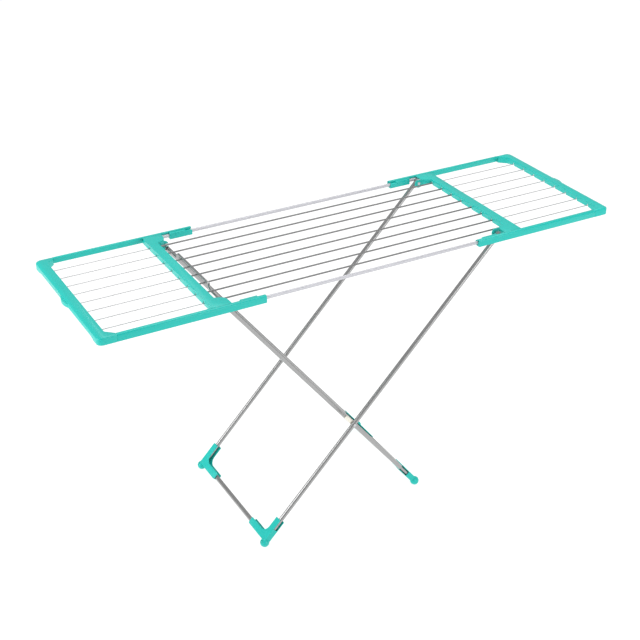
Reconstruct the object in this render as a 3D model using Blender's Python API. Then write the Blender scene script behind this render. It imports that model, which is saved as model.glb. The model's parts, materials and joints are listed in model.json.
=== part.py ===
"""Clothes drying rack with two sliding wings and folding cross legs.

Metres, +Z up, +X along the rack to its right wing, +Y to its rear.  The origin is on the floor under
the middle of the rack.  The rack is modelled standing open with both wings pulled out.
"""
import math

import bmesh
import bpy
from mathutils import Matrix, Vector

# Driving dimensions of the whole rack
LENGTH = 1.840
WIDTH = 0.575
HEIGHT = 0.961
GAP = 0.0003

# Hanging rods of the middle section, and the wires of the wings that slide into them
ROD_COUNT = 8
ROD_PITCH = 0.0612
ROD_Z = HEIGHT - 0.014
ROD_RADIUS = 0.0027
ROD_BORE = 0.0019
WIRE_RADIUS = 0.0015
WIRE_OVERLAP = 0.055

# Side tubes that carry the wings
SIDE_TUBE_Y = 0.2735
SIDE_TUBE_Z = HEIGHT - 0.013
SIDE_TUBE_RADIUS = 0.00575
SIDE_TUBE_WALL = 0.001

# Crossbars at the two ends of the middle section
CROSSBAR_OUTER_X = 0.560
CROSSBAR_WIDTH = 0.0315
CROSSBAR_HEIGHT = 0.019
CROSSBAR_TOP = HEIGHT - 0.0005
CROSSBAR_WALL = 0.0024
CROSSBAR_END_Y = 0.2655
CROSSBAR_LANE_X = 0.514
GUSSET_X = 0.500
GUSSET_START_Y = 0.2185
GUSSET_CURVE = 1.5
BOSS_Y = 0.2345
BOSS_THICKNESS = 0.003
BOSS_RADIUS = 0.016
BOSS_SLOT = 0.0045
SHELF_X = 0.4955
SHELF_CORNER_Y = 0.249
SHELF_END_Y = 0.2745
EAR_ROOT = 0.012
EAR_THICKNESS = 0.0035
SPIGOT_LENGTH = 0.018
SPIGOT_ROOT = 0.002
SADDLE_X = 0.543
SADDLE_THICKNESS = 0.002
ROD_SLOT = 0.0038
ROD_SLOT_RISE = 0.0015
WIRE_SLOT = 0.0028
WIRE_SLOT_RISE = 0.004

# Wing frames: rails, end bars and the bushes that run on the side tubes
RAIL_HEIGHT = 0.024
RAIL_WALL = 0.0022
RAIL_TOP_WIDTH = 0.0125
RAIL_LIP = 0.0065
RAIL_ROUND = 0.006
RAIL_INNER_X = 0.385
RAIL_OUTER_X = 0.862
TONGUE_REACH = 0.026
TONGUE_ROOT = 0.014
TONGUE_THICKNESS = 0.0022
TONGUE_CLEARANCE = 0.0005
TONGUE_LOW_Z = HEIGHT - 0.021
TONGUE_HIGH_Z = HEIGHT - 0.008
END_BAR_WIDTH = 0.0325
END_BAR_HEIGHT = 0.019
END_BAR_WALL = 0.0024
END_BAR_SLOPE_WIDTH = 0.010
END_BAR_SLOPE_DROP = 0.005
END_BAR_RAMP = 0.030
END_BAR_SLOT = 0.0035
WIRE_SEAT = 0.001
CORNER_ROUND = 0.018
CORNER_GUSSET = 0.036
GRIP_LENGTH = 0.075
GRIP_DEPTH = 0.008
BUSH_OUTER_X = 0.466
BUSH_STEP_X = 0.409
BUSH_INNER_Y = 0.265
BUSH_BORE = 0.00605
BUSH_HEIGHT = 0.021

# Leg frames
LEG_RADIUS = 0.008
LEG_WALL = 0.001
LEG_OVERRUN = 0.007
LEG_SHORT = 0.002
FOOT_Z = 0.018
RIGHT_PIVOT = Vector((0.4865, 0.0, 0.947))
RIGHT_FOOT = Vector((-0.405, 0.0, FOOT_Z))
RIGHT_LEG_Y = 0.2525
LEFT_PIVOT = Vector((-0.500, 0.0, 0.936))
LEFT_FOOT = Vector((0.216, 0.0, FOOT_Z))
LEFT_LEG_Y = 0.2007
PIN_RADIUS = 0.003
PIN_HEAD_RADIUS = 0.0055
PIN_HEAD = 0.0018
PIN_HEAD_EASE = 0.0008
TOP_BAR_RADIUS = 0.004
TOP_BAR_CRANK_Y = 0.122
TOP_BAR_CRANK_Z = 0.9557
TOP_BAR_BEND = 0.008
TOP_BAR_END_Y = 0.2390
CAP_RADIUS = 0.0065
CAP_LENGTH = 0.0025
SPACER_LENGTH = 0.022
SPACER_WIDTH = 0.014
SPACER_CLEARANCE = 0.0005

# Elbows that join the leg tubes to the foot tubes
ELBOW_LEG_ARM = 0.089
ELBOW_CROSS_ARM = 0.110
ELBOW_WALL = 0.0022
ELBOW_OUTER = 0.0105
ELBOW_LEG_INNER = 0.015
ELBOW_CROSS_INNER = 0.013
ELBOW_ARC = 0.026
ELBOW_OPEN = 0.038
FOOT_TUBE_RISE = 0.010
FOOT_TUBE_CLEARANCE = 0.0015
KNOB_RADIUS = 0.0157
KNOB_OFFSET = 0.004

# How far a cutter runs past what it cuts
PAST = 0.010

# Colour, roughness and metallic value of each finish
FINISHES = {
    "teal_plastic": ((0.042, 0.584, 0.515, 1.0), 0.38, 0.0),
    "cream_plastic": ((0.84, 0.81, 0.70, 1.0), 0.45, 0.0),
    "grey_paint": ((0.33, 0.33, 0.33, 1.0), 0.42, 0.3),
    "rod_paint": ((0.25, 0.25, 0.25, 1.0), 0.40, 0.3),
    "pale_paint": ((0.62, 0.62, 0.64, 1.0), 0.35, 0.2),
    "bright_wire": ((0.55, 0.55, 0.56, 1.0), 0.30, 0.7),
    "zinc": ((0.60, 0.61, 0.62, 1.0), 0.35, 0.9),
}


def clear_scene():
    for thing in list(bpy.data.objects):
        bpy.data.objects.remove(thing)


def finish(name):
    """The named finish, made once."""
    material = bpy.data.materials.get(name)
    if material is None:
        colour, roughness, metallic = FINISHES[name]
        material = bpy.data.materials.new(name)
        material.use_nodes = True
        shader = material.node_tree.nodes["Principled BSDF"]
        shader.inputs["Base Color"].default_value = colour
        shader.inputs["Roughness"].default_value = roughness
        shader.inputs["Metallic"].default_value = metallic
        material.diffuse_color = colour
    return material


def place(name, mesh_data, finish_name=None, parent=None):
    """An object from a bmesh.  With a parent empty, the mesh is in that empty's space."""
    bmesh.ops.recalc_face_normals(mesh_data, faces=mesh_data.faces)
    mesh = bpy.data.meshes.new(name)
    mesh_data.to_mesh(mesh)
    mesh_data.free()
    thing = bpy.data.objects.new(name, mesh)
    bpy.context.scene.collection.objects.link(thing)
    if parent:
        thing.parent = parent
    if finish_name:
        mesh.materials.append(finish(finish_name))
        shade(mesh)
    return thing


def shade(mesh):
    mesh.shade_smooth()
    mesh.set_sharp_from_angle(angle=math.radians(35))


def empty(name, location, tilt=0.0, parent=None):
    """A guide on a joint's axis, turned about Y by tilt."""
    guide = bpy.data.objects.new(name, None)
    guide.location = location
    guide.rotation_euler = (0.0, tilt, 0.0)
    guide.hide_render = True
    guide.parent = parent
    bpy.context.scene.collection.objects.link(guide)
    return guide


def ride(thing, guide):
    """Hang a piece modelled in the rack's frame on a guide, without moving it."""
    bpy.context.view_layer.update()
    thing.parent = guide
    thing.matrix_parent_inverse = guide.matrix_world.inverted()


def combine(target, tool, operation):
    """Join tool to target, or cut it out, and drop the tool."""
    modifier = target.modifiers.new(operation, "BOOLEAN")
    modifier.operation = operation
    modifier.solver = "EXACT"
    modifier.object = tool
    bpy.context.view_layer.update()
    graph = bpy.context.evaluated_depsgraph_get()
    mesh = bpy.data.meshes.new_from_object(target.evaluated_get(graph))
    target.modifiers.clear()
    target.data = mesh
    bpy.data.objects.remove(tool)
    if len(mesh.materials):
        shade(mesh)


def prism(outline, axis, low, high):
    """A closed solid: a flat outline drawn out along X, Y or Z from low to high.

    The outline's two coordinates are the other two axes, in X, Y, Z order.
    """
    def corner(a, b, t):
        return {"X": (t, a, b), "Y": (a, t, b), "Z": (a, b, t)}[axis]

    low, high = sorted((low, high))
    mesh = bmesh.new()
    bottom = [mesh.verts.new(corner(a, b, low)) for a, b in outline]
    top = [mesh.verts.new(corner(a, b, high)) for a, b in outline]
    mesh.faces.new(bottom)
    mesh.faces.new(top)
    for i in range(len(outline)):
        j = (i + 1) % len(outline)
        mesh.faces.new((bottom[i], bottom[j], top[j], top[i]))
    return mesh


def box(corner_a, corner_b):
    """A block between any two opposite corners."""
    low = [min(a, b) for a, b in zip(corner_a, corner_b)]
    high = [max(a, b) for a, b in zip(corner_a, corner_b)]
    outline = [(low[0], low[1]), (high[0], low[1]), (high[0], high[1]), (low[0], high[1])]
    return prism(outline, "Z", low[2], high[2])


def layers(outlines):
    """A closed solid through flat outlines at rising heights, each (z, outline) with as many points."""
    mesh = bmesh.new()
    rings = [[mesh.verts.new((a, b, z)) for a, b in outline] for z, outline in outlines]
    mesh.faces.new(rings[0])
    mesh.faces.new(rings[-1])
    for lower, upper in zip(rings, rings[1:]):
        for i in range(len(lower)):
            j = (i + 1) % len(lower)
            mesh.faces.new((lower[i], lower[j], upper[j], upper[i]))
    return mesh


def arc(centre, radius, start, end, steps=6):
    """Points on a circle from one angle to another, in degrees."""
    points = []
    for i in range(steps + 1):
        angle = math.radians(start + (end - start) * i / steps)
        points.append((centre[0] + radius * math.cos(angle), centre[1] + radius * math.sin(angle)))
    return points


def along(start, end):
    """The matrix that takes +Z to the line from start to end."""
    start, end = Vector(start), Vector(end)
    return Matrix.Translation(start) @ (end - start).to_track_quat("Z", "Y").to_matrix().to_4x4()


def bar(start, end, radius, sides=16, bore=0.0):
    """A round bar between two points, or a tube where it has a bore."""
    length = (Vector(end) - Vector(start)).length
    mesh = bmesh.new()
    rings = []
    for r, z in ((radius, 0.0), (radius, length), (bore, length), (bore, 0.0)):
        if r > 0.0:
            angles = [2 * math.pi * i / sides for i in range(sides)]
            rings.append([mesh.verts.new((r * math.cos(a), r * math.sin(a), z)) for a in angles])
    for k in range(len(rings) if bore else len(rings) - 1):
        lower, upper = rings[k], rings[(k + 1) % len(rings)]
        for i in range(sides):
            j = (i + 1) % sides
            mesh.faces.new((lower[i], lower[j], upper[j], upper[i]))
    if not bore:
        mesh.faces.new(rings[0])
        mesh.faces.new(rings[1])
    mesh.transform(along(start, end))
    return mesh


def turned(profile, start, end, sides=20):
    """A solid of revolution on the line from start to end; profile is (distance along, radius)."""
    mesh = bmesh.new()
    rings = []
    for distance, radius in profile:
        angles = [2 * math.pi * i / sides for i in range(sides)]
        rings.append([mesh.verts.new((radius * math.cos(a), radius * math.sin(a), distance)) for a in angles])
    for lower, upper in zip(rings, rings[1:]):
        for i in range(sides):
            j = (i + 1) % sides
            mesh.faces.new((lower[i], lower[j], upper[j], upper[i]))
    mesh.faces.new(rings[0])
    mesh.faces.new(rings[-1])
    mesh.transform(along(start, end))
    return mesh


def rod_ys():
    """The y of each rod, from the front to the rear."""
    return [(i - (ROD_COUNT - 1) / 2) * ROD_PITCH for i in range(ROD_COUNT)]


def slot_cutter(x_a, x_b, y, half_width, rise, z_low):
    """A U-shaped slot, open below, whose round top is centred at a height rise above the rod."""
    outline = [(y - half_width, z_low), (y + half_width, z_low)]
    outline += arc((y, ROD_Z + rise), half_width, 0, 180)
    return place("slot", prism(outline, "X", x_a, x_b))


def mirrored(outline, side_x, side_y):
    return [(side_x * a, side_y * b) for a, b in outline]


# ---------------------------------------------------------------- middle section

def crossbar_outline(inset):
    """One half of the crossbar from above, from its middle to its end, drawn in by inset."""
    outer = CROSSBAR_OUTER_X - inset
    lane = CROSSBAR_LANE_X + inset
    end_y = CROSSBAR_END_Y - inset
    boss_y = BOSS_Y + BOSS_THICKNESS - inset
    half = [(outer, 0.0), (outer, end_y), (lane, end_y), (lane, boss_y), (GUSSET_X + inset, boss_y)]
    steps = 8
    for i in range(steps + 1):
        t = i / steps
        reach = (CROSSBAR_OUTER_X - CROSSBAR_WIDTH - GUSSET_X) * t ** GUSSET_CURVE
        half.append((GUSSET_X + inset + reach, BOSS_Y + (GUSSET_START_Y - BOSS_Y) * t))
    return half


def boss(shell, side, end):
    """The round plate that carries a pivot, bored for a pin or slotted for the top bar."""
    pivot_point = RIGHT_PIVOT if side > 0 else LEFT_PIVOT
    pivot = (abs(pivot_point.x), pivot_point.z)
    inner = CROSSBAR_OUTER_X - CROSSBAR_WIDTH
    bottom = CROSSBAR_TOP - CROSSBAR_HEIGHT
    neck = CROSSBAR_TOP - GAP
    outline = [(inner, bottom), (inner, neck)]
    outline += [(x, min(z, neck)) for x, z in arc(pivot, BOSS_RADIUS, 60, 300, 16)]
    plate = prism(mirrored(outline, side, 1), "Y", end * BOSS_Y, end * (BOSS_Y + BOSS_THICKNESS))
    combine(shell, place("boss", plate), "UNION")
    if side > 0:
        bore_ends = [(pivot[0], end * y, pivot[1]) for y in (BOSS_Y - PAST, BOSS_Y + BOSS_THICKNESS + PAST)]
        combine(shell, place("bore", bar(*bore_ends, PIN_RADIUS + GAP)), "DIFFERENCE")
    else:
        mouth = pivot[0] - BOSS_RADIUS - PAST
        opening = [(mouth, pivot[1] + BOSS_SLOT)] + arc(pivot, BOSS_SLOT, 90, -90, 8)
        opening += [(mouth, pivot[1] - BOSS_SLOT)]
        through = (end * (BOSS_Y - PAST), end * (BOSS_Y + BOSS_THICKNESS + PAST))
        combine(shell, place("slot", prism(mirrored(opening, side, 1), "Y", *through)), "DIFFERENCE")


def crossbar_end(shell, side, end):
    """What one end of a crossbar carries: the shelf, the boss, the ear and the spigot of the side tube."""
    outer = CROSSBAR_OUTER_X
    shelf = [(GUSSET_X, BOSS_Y), (outer, BOSS_Y), (outer, SHELF_END_Y), (SHELF_X, SHELF_END_Y),
             (SHELF_X, SHELF_CORNER_Y)]
    shelf_solid = prism(mirrored(shelf, side, end), "Z", CROSSBAR_TOP - CROSSBAR_WALL, CROSSBAR_TOP)
    combine(shell, place("shelf", shelf_solid), "UNION")
    boss(shell, side, end)
    tube = (SIDE_TUBE_Y, SIDE_TUBE_Z)
    root = SIDE_TUBE_Y - EAR_ROOT
    ear = [(root, tube[1] + SIDE_TUBE_RADIUS), (root, tube[1] - SIDE_TUBE_RADIUS)]
    ear += arc(tube, SIDE_TUBE_RADIUS, -90, 90, 10)
    ear_solid = prism(mirrored(ear, end, 1), "X", side * (outer - EAR_THICKNESS), side * outer)
    combine(shell, place("ear", ear_solid), "UNION")
    spigot_tip = outer - SPIGOT_ROOT - SPIGOT_LENGTH
    spigot_ends = [(side * x, end * tube[0], tube[1]) for x in (spigot_tip, outer - SPIGOT_ROOT)]
    spigot = bar(*spigot_ends, SIDE_TUBE_RADIUS - SIDE_TUBE_WALL - GAP, 12)
    combine(shell, place("spigot", spigot), "UNION")


def crossbar(side):
    """A hollow bar, open below, with gussets and pivot bosses at its ends."""
    outer = CROSSBAR_OUTER_X
    inner = outer - CROSSBAR_WIDTH
    bottom = CROSSBAR_TOP - CROSSBAR_HEIGHT

    def whole(inset):
        half = crossbar_outline(inset)
        return mirrored(half + [(a, -b) for a, b in reversed(half[1:])], side, 1)

    name = "right_crossbar" if side > 0 else "left_crossbar"
    shell = place(name, prism(whole(0.0), "Z", bottom, CROSSBAR_TOP), "teal_plastic")
    hollow = prism(whole(CROSSBAR_WALL), "Z", bottom - PAST, CROSSBAR_TOP - CROSSBAR_WALL)
    combine(shell, place("hollow", hollow), "DIFFERENCE")
    saddle = box((side * SADDLE_X, -BOSS_Y, bottom + GAP),
                 (side * (SADDLE_X + SADDLE_THICKNESS), BOSS_Y, CROSSBAR_TOP - CROSSBAR_WALL / 2))
    combine(shell, place("saddle", saddle), "UNION")
    for end in (-1, 1):
        crossbar_end(shell, side, end)

    inner_ends = (side * (GUSSET_X - PAST), side * (inner + 2 * CROSSBAR_WALL))
    outer_ends = (side * (outer - 2 * CROSSBAR_WALL), side * (outer + PAST))
    seat_ends = (side * (SADDLE_X - SADDLE_THICKNESS), side * (SADDLE_X + 2 * SADDLE_THICKNESS))
    for y in rod_ys():
        combine(shell, slot_cutter(*inner_ends, y, ROD_SLOT, ROD_SLOT_RISE, bottom - PAST), "DIFFERENCE")
        combine(shell, slot_cutter(*outer_ends, y, WIRE_SLOT, WIRE_SLOT_RISE, bottom - PAST), "DIFFERENCE")
        seat = bar(*[(x, y, ROD_Z) for x in seat_ends], ROD_RADIUS + GAP, 12)
        combine(shell, place("seat", seat), "DIFFERENCE")


def middle_section():
    """The fixed part: two crossbars, the side tubes, the rods and the pins of the wide legs."""
    for side in (-1, 1):
        crossbar(side)
    tube_end = CROSSBAR_OUTER_X - EAR_THICKNESS - GAP
    for name, end in (("front_side_tube", -1), ("rear_side_tube", 1)):
        start = (-tube_end, end * SIDE_TUBE_Y, SIDE_TUBE_Z)
        stop = (tube_end, end * SIDE_TUBE_Y, SIDE_TUBE_Z)
        place(name, bar(start, stop, SIDE_TUBE_RADIUS, 16, SIDE_TUBE_RADIUS - SIDE_TUBE_WALL), "pale_paint")
    rod_end = CROSSBAR_OUTER_X - CROSSBAR_WALL - GAP
    for i, y in enumerate(rod_ys()):
        rod = bar((-rod_end, y, ROD_Z), (rod_end, y, ROD_Z), ROD_RADIUS, 10, ROD_BORE)
        place(f"rod_{i + 1}", rod, "rod_paint")
    for name, end in (("front_leg_pin", -1), ("rear_leg_pin", 1)):
        pin(name, RIGHT_PIVOT, end, BOSS_Y - GAP - PIN_HEAD, RIGHT_LEG_Y + LEG_RADIUS + GAP + PIN_HEAD)


def pin_head(start):
    """The profile of a flat round head with a softened rim, as (distance along, radius)."""
    rim = start + PIN_HEAD - PIN_HEAD_EASE
    return [(start, PIN_RADIUS), (start, PIN_HEAD_RADIUS), (rim, PIN_HEAD_RADIUS),
            (start + PIN_HEAD, PIN_HEAD_RADIUS - PIN_HEAD_EASE)]


def pin(name, centre, end, low, high):
    """A headed pin along Y: a shank between two flat round heads."""
    length = high - low
    far_head = pin_head(length - PIN_HEAD)
    near_head = [(length - distance, radius) for distance, radius in reversed(far_head)]
    start = (centre.x, end * low, centre.z)
    stop = (centre.x, end * high, centre.z)
    place(name, turned(near_head + far_head, start, stop, 16), "zinc")


# ---------------------------------------------------------------- wings

def rail_section():
    """The rail's section as (y, z): a tall outer wall, a rounded top and a short inner lip."""
    out = WIDTH / 2
    top = HEIGHT
    wall = RAIL_WALL
    lip = out - RAIL_TOP_WIDTH
    outer = [(out, top - RAIL_HEIGHT)] + arc((out - RAIL_ROUND, top - RAIL_ROUND), RAIL_ROUND, 0, 90)
    outer += [(lip, top), (lip, top - RAIL_LIP), (lip + wall, top - RAIL_LIP), (lip + wall, top - wall)]
    inner = arc((out - RAIL_ROUND, top - RAIL_ROUND), RAIL_ROUND - wall, 90, 0)
    return outer + inner + [(out - wall, top - RAIL_HEIGHT)]


def rail(name, side, end, guide):
    """An upturned channel with a tongue at its outer end that plugs into the end bar."""
    section = mirrored(rail_section(), end, 1)
    thing = place(name, prism(section, "X", side * RAIL_INNER_X, side * (RAIL_OUTER_X - GAP)), "teal_plastic")
    out = WIDTH / 2
    outer_face = out - RAIL_WALL - GAP
    inner_face = outer_face - TONGUE_THICKNESS
    start = RAIL_OUTER_X - TONGUE_ROOT
    tongue = box((side * start, end * inner_face, TONGUE_LOW_Z),
                 (side * (RAIL_OUTER_X + TONGUE_REACH), end * outer_face, TONGUE_HIGH_Z))
    combine(thing, place("tongue", tongue), "UNION")
    root = box((side * start, end * inner_face, TONGUE_LOW_Z),
               (side * (RAIL_OUTER_X - RAIL_WALL), end * (out - RAIL_WALL / 2), TONGUE_HIGH_Z))
    combine(thing, place("root", root), "UNION")
    ride(thing, guide)


def bush(name, side, end, guide):
    """The block in the rail's inner end that runs on the side tube."""
    top = HEIGHT - RAIL_WALL - GAP
    out = WIDTH / 2 - RAIL_WALL - GAP
    lip = WIDTH / 2 - RAIL_TOP_WIDTH - GAP
    notch = HEIGHT - RAIL_LIP - GAP
    section = [(BUSH_INNER_Y, top - BUSH_HEIGHT), (out, top - BUSH_HEIGHT), (out, notch), (lip, notch),
               (lip, top), (BUSH_INNER_Y, top)]
    start = RAIL_INNER_X + 2 * GAP
    block = prism(mirrored(section, end, 1), "X", side * start, side * BUSH_OUTER_X)
    thing = place(name, block, "teal_plastic")
    step = box((side * (start - PAST), end * (BUSH_INNER_Y - PAST), notch),
               (side * BUSH_STEP_X, end * (lip + PAST), top + PAST))
    combine(thing, place("step", step), "DIFFERENCE")
    bore_ends = [(side * x, end * SIDE_TUBE_Y, SIDE_TUBE_Z) for x in (start - PAST, BUSH_OUTER_X + PAST)]
    combine(thing, place("bore", bar(*bore_ends, BUSH_BORE, 16)), "DIFFERENCE")
    ride(thing, guide)


def end_bar_outline(inset, slope=0.0):
    """The end bar from above, drawn in by inset; slope draws in only its outer side and its ends."""
    outer = LENGTH / 2
    out = WIDTH / 2
    lip = out - RAIL_TOP_WIDTH
    end_slope = min(slope, RAIL_ROUND)
    lean = inset * 0.4
    half = [(outer - inset - slope, 0.0)]
    for across, endways in arc((0.0, 0.0), 1.0, 0, 90, 8):
        half.append((outer - CORNER_ROUND + (CORNER_ROUND - inset - slope) * across,
                     out - CORNER_ROUND + (CORNER_ROUND - inset - end_slope) * endways))
    half += [(RAIL_OUTER_X + inset, out - inset - end_slope), (RAIL_OUTER_X + inset, lip + lean)]
    half += [(outer - END_BAR_WIDTH + inset, out - CORNER_GUSSET - lean)]
    return half + [(a, -b) for a, b in reversed(half[1:])]


def finger_grip(side, low, high):
    """The shallow lip in the middle of the end bar's outer side."""
    root = LENGTH / 2 - END_BAR_WALL / 2
    depth = GRIP_DEPTH + END_BAR_WALL / 2
    steps = 10
    outline = [(root, -GRIP_LENGTH / 2)]
    for i in range(1, steps):
        bulge = math.sin(math.pi * i / steps) ** 0.8
        outline.append((root + depth * bulge, GRIP_LENGTH * (i / steps - 0.5)))
    outline.append((root, GRIP_LENGTH / 2))
    return prism(mirrored(outline, side, 1), "Z", low, high)


def end_bar(name, side, guide):
    """The wing's outer bar: hollow below, with a sloping outer side, corner gussets and a finger grip."""
    outer = LENGTH / 2
    inner = outer - END_BAR_WIDTH
    out = WIDTH / 2
    shoulder = HEIGHT - END_BAR_SLOPE_DROP
    bottom = HEIGHT - RAIL_HEIGHT
    underside = HEIGHT - END_BAR_HEIGHT
    middle = (HEIGHT - END_BAR_SLOPE_DROP / 3, END_BAR_SLOPE_WIDTH / 2)
    levels = ((bottom, 0.0), (shoulder, 0.0), middle, (HEIGHT, END_BAR_SLOPE_WIDTH))
    solid = layers([(z, mirrored(end_bar_outline(0.0, slope), side, 1)) for z, slope in levels])
    thing = place(name, solid, "teal_plastic")
    hollow = prism(mirrored(end_bar_outline(END_BAR_WALL), side, 1), "Z", bottom - PAST,
                   shoulder - END_BAR_WALL / 2)
    combine(thing, place("hollow", hollow), "DIFFERENCE")

    ramp_start = out - CORNER_GUSSET
    ramp_stop = ramp_start - END_BAR_RAMP
    scoop = [(-ramp_start, bottom - PAST), (-ramp_start, bottom), (-ramp_stop, underside)]
    scoop += [(-y, z) for y, z in reversed(scoop)]
    through = (side * (inner - PAST), side * (outer + PAST))
    combine(thing, place("scoop", prism(scoop, "X", *through)), "DIFFERENCE")
    combine(thing, place("grip", finger_grip(side, underside + GAP, shoulder - GAP)), "UNION")

    slot_ends = (side * (inner - PAST), side * (inner + 2 * END_BAR_WALL))
    for y in rod_ys():
        combine(thing, slot_cutter(*slot_ends, y, END_BAR_SLOT, 0.0, bottom - PAST), "DIFFERENCE")
    for end in (-1, 1):
        low_y = out - RAIL_WALL - TONGUE_THICKNESS - TONGUE_CLEARANCE
        mouth = box((side * (RAIL_OUTER_X - PAST), end * low_y, TONGUE_LOW_Z - TONGUE_CLEARANCE),
                    (side * (RAIL_OUTER_X + TONGUE_REACH + RAIL_WALL), end * (out - RAIL_WALL),
                     TONGUE_HIGH_Z + TONGUE_CLEARANCE))
        combine(thing, place("mouth", mouth), "DIFFERENCE")
    ride(thing, guide)


def wing(side):
    """One sliding wing: an end bar, two rails with their bushes, and eight wires."""
    label = "right" if side > 0 else "left"
    guide = empty(f"{label}_wing_slide", (side * CROSSBAR_OUTER_X, 0.0, SIDE_TUBE_Z))
    end_bar(f"{label}_end_bar", side, guide)
    for place_name, end in (("front", -1), ("rear", 1)):
        rail(f"{label}_{place_name}_rail", side, end, guide)
        bush(f"{label}_{place_name}_bush", side, end, guide)
    wire_start = CROSSBAR_OUTER_X - WIRE_OVERLAP
    wire_stop = LENGTH / 2 - END_BAR_WALL - WIRE_SEAT
    for i, y in enumerate(rod_ys()):
        wire = bar((side * wire_start, y, ROD_Z), (side * wire_stop, y, ROD_Z), WIRE_RADIUS, 8)
        ride(place(f"{label}_wire_{i + 1}", wire, "bright_wire"), guide)


# ---------------------------------------------------------------- legs

def crossing():
    """Where the two leg frames cross, seen from the front, as (x, z)."""
    a, b = RIGHT_PIVOT, RIGHT_FOOT
    c, d = LEFT_PIVOT, LEFT_FOOT
    r, s = b - a, d - c
    t = ((c.x - a.x) * s.z - (c.z - a.z) * s.x) / (r.x * s.z - r.z * s.x)
    return a + r * t


def elbow_outline(grow):
    """The elbow's outline as (inward, up the leg); grow opens its inner side and ends for the hollow."""
    outer = ELBOW_OUTER - (ELBOW_WALL if grow else 0.0)
    reach = 2 * PAST if grow else 0.0
    leg_in = ELBOW_LEG_INNER + reach
    cross_in = FOOT_TUBE_RISE + ELBOW_CROSS_INNER + reach
    low = FOOT_TUBE_RISE - outer
    corner = arc((leg_in + ELBOW_ARC, cross_in + ELBOW_ARC), ELBOW_ARC, 180, 270, 8)
    return [(-outer, low), (-outer, ELBOW_LEG_ARM + reach), (leg_in, ELBOW_LEG_ARM + reach)] + corner + [
        (ELBOW_CROSS_ARM + reach, cross_in), (ELBOW_CROSS_ARM + reach, low)]


def elbow(name, end, leg_y, length, guide):
    """A two-plate shell, open on its inner side and at the top of its outer side, with a round foot."""
    half_gap = LEG_RADIUS + GAP
    half_outer = half_gap + ELBOW_WALL

    def to_leg(outline):
        return [(end * (leg_y - a), b - length) for a, b in outline]

    block = prism(to_leg(elbow_outline(False)), "X", -half_outer, half_outer)
    thing = place(name, block, "teal_plastic", guide)
    knob = bmesh.new()
    bmesh.ops.create_uvsphere(knob, u_segments=20, v_segments=12, radius=KNOB_RADIUS)
    knob.transform(Matrix.Translation((0.0, end * (leg_y + KNOB_OFFSET), -length - KNOB_OFFSET)))
    combine(thing, place("knob", knob, None, guide), "UNION")
    hollow = prism(to_leg(elbow_outline(True)), "X", -half_gap, half_gap)
    combine(thing, place("hollow", hollow, None, guide), "DIFFERENCE")
    open_low = ELBOW_LEG_ARM - ELBOW_OPEN
    window = [(-ELBOW_OUTER - PAST, open_low), (0.0, open_low), (0.0, ELBOW_LEG_ARM + PAST),
              (-ELBOW_OUTER - PAST, ELBOW_LEG_ARM + PAST)]
    opening = prism(to_leg(window), "X", -half_gap, half_gap)
    combine(thing, place("window", opening, None, guide), "DIFFERENCE")
    floor = box((-LENGTH, -WIDTH, -BOSS_RADIUS), (LENGTH, WIDTH, 0.0))
    combine(thing, place("floor", floor), "DIFFERENCE")


def leg_frame(label, pivot, foot, leg_y, hole_radius, guide):
    """Two leg tubes, a foot tube and two elbows, in the guide's space with the leg along Z."""
    length = (pivot - foot).length
    cross_at = length - (crossing() - foot).length
    holes = [(0.0, hole_radius)]
    if label == "right":
        holes.append((-cross_at, PIN_RADIUS + GAP))
    for place_name, end in (("front", -1), ("rear", 1)):
        top = (0.0, end * leg_y, LEG_OVERRUN)
        bottom = (0.0, end * leg_y, LEG_SHORT - length)
        leg_tube = bar(top, bottom, LEG_RADIUS, 20, LEG_RADIUS - LEG_WALL)
        tube = place(f"{label}_{place_name}_leg_tube", leg_tube, "grey_paint", guide)
        for height, radius in holes:
            hole_ends = [(0.0, end * (leg_y + y), height) for y in (-LEG_RADIUS - PAST, LEG_RADIUS + PAST)]
            combine(tube, place("hole", bar(*hole_ends, radius, 16), None, guide), "DIFFERENCE")
        elbow(f"{label}_{place_name}_elbow", end, leg_y, length, guide)
    reach = leg_y - LEG_RADIUS - FOOT_TUBE_CLEARANCE
    height = -length + FOOT_TUBE_RISE
    foot_tube = bar((0.0, -reach, height), (0.0, reach, height), LEG_RADIUS, 20, LEG_RADIUS - LEG_WALL)
    place(f"{label}_foot_tube", foot_tube, "grey_paint", guide)
    return cross_at


def right_legs():
    """The wide leg frame, with a rivet in each leg where it crosses the narrow frame."""
    up = RIGHT_PIVOT - RIGHT_FOOT
    guide = empty("right_leg_hinge", RIGHT_PIVOT, math.atan2(up.x, up.z))
    cross_at = leg_frame("right", RIGHT_PIVOT, RIGHT_FOOT, RIGHT_LEG_Y, PIN_RADIUS + GAP, guide)
    inner = RIGHT_LEG_Y - LEG_RADIUS + GAP
    outer = RIGHT_LEG_Y + LEG_RADIUS + GAP + PIN_HEAD
    profile = [(0.0, PIN_RADIUS)] + pin_head(outer - inner - PIN_HEAD)
    for name, end in (("front_crossing_rivet", -1), ("rear_crossing_rivet", 1)):
        rivet = turned(profile, (0.0, end * inner, -cross_at), (0.0, end * outer, -cross_at), 16)
        place(name, rivet, "zinc", guide)


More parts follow.
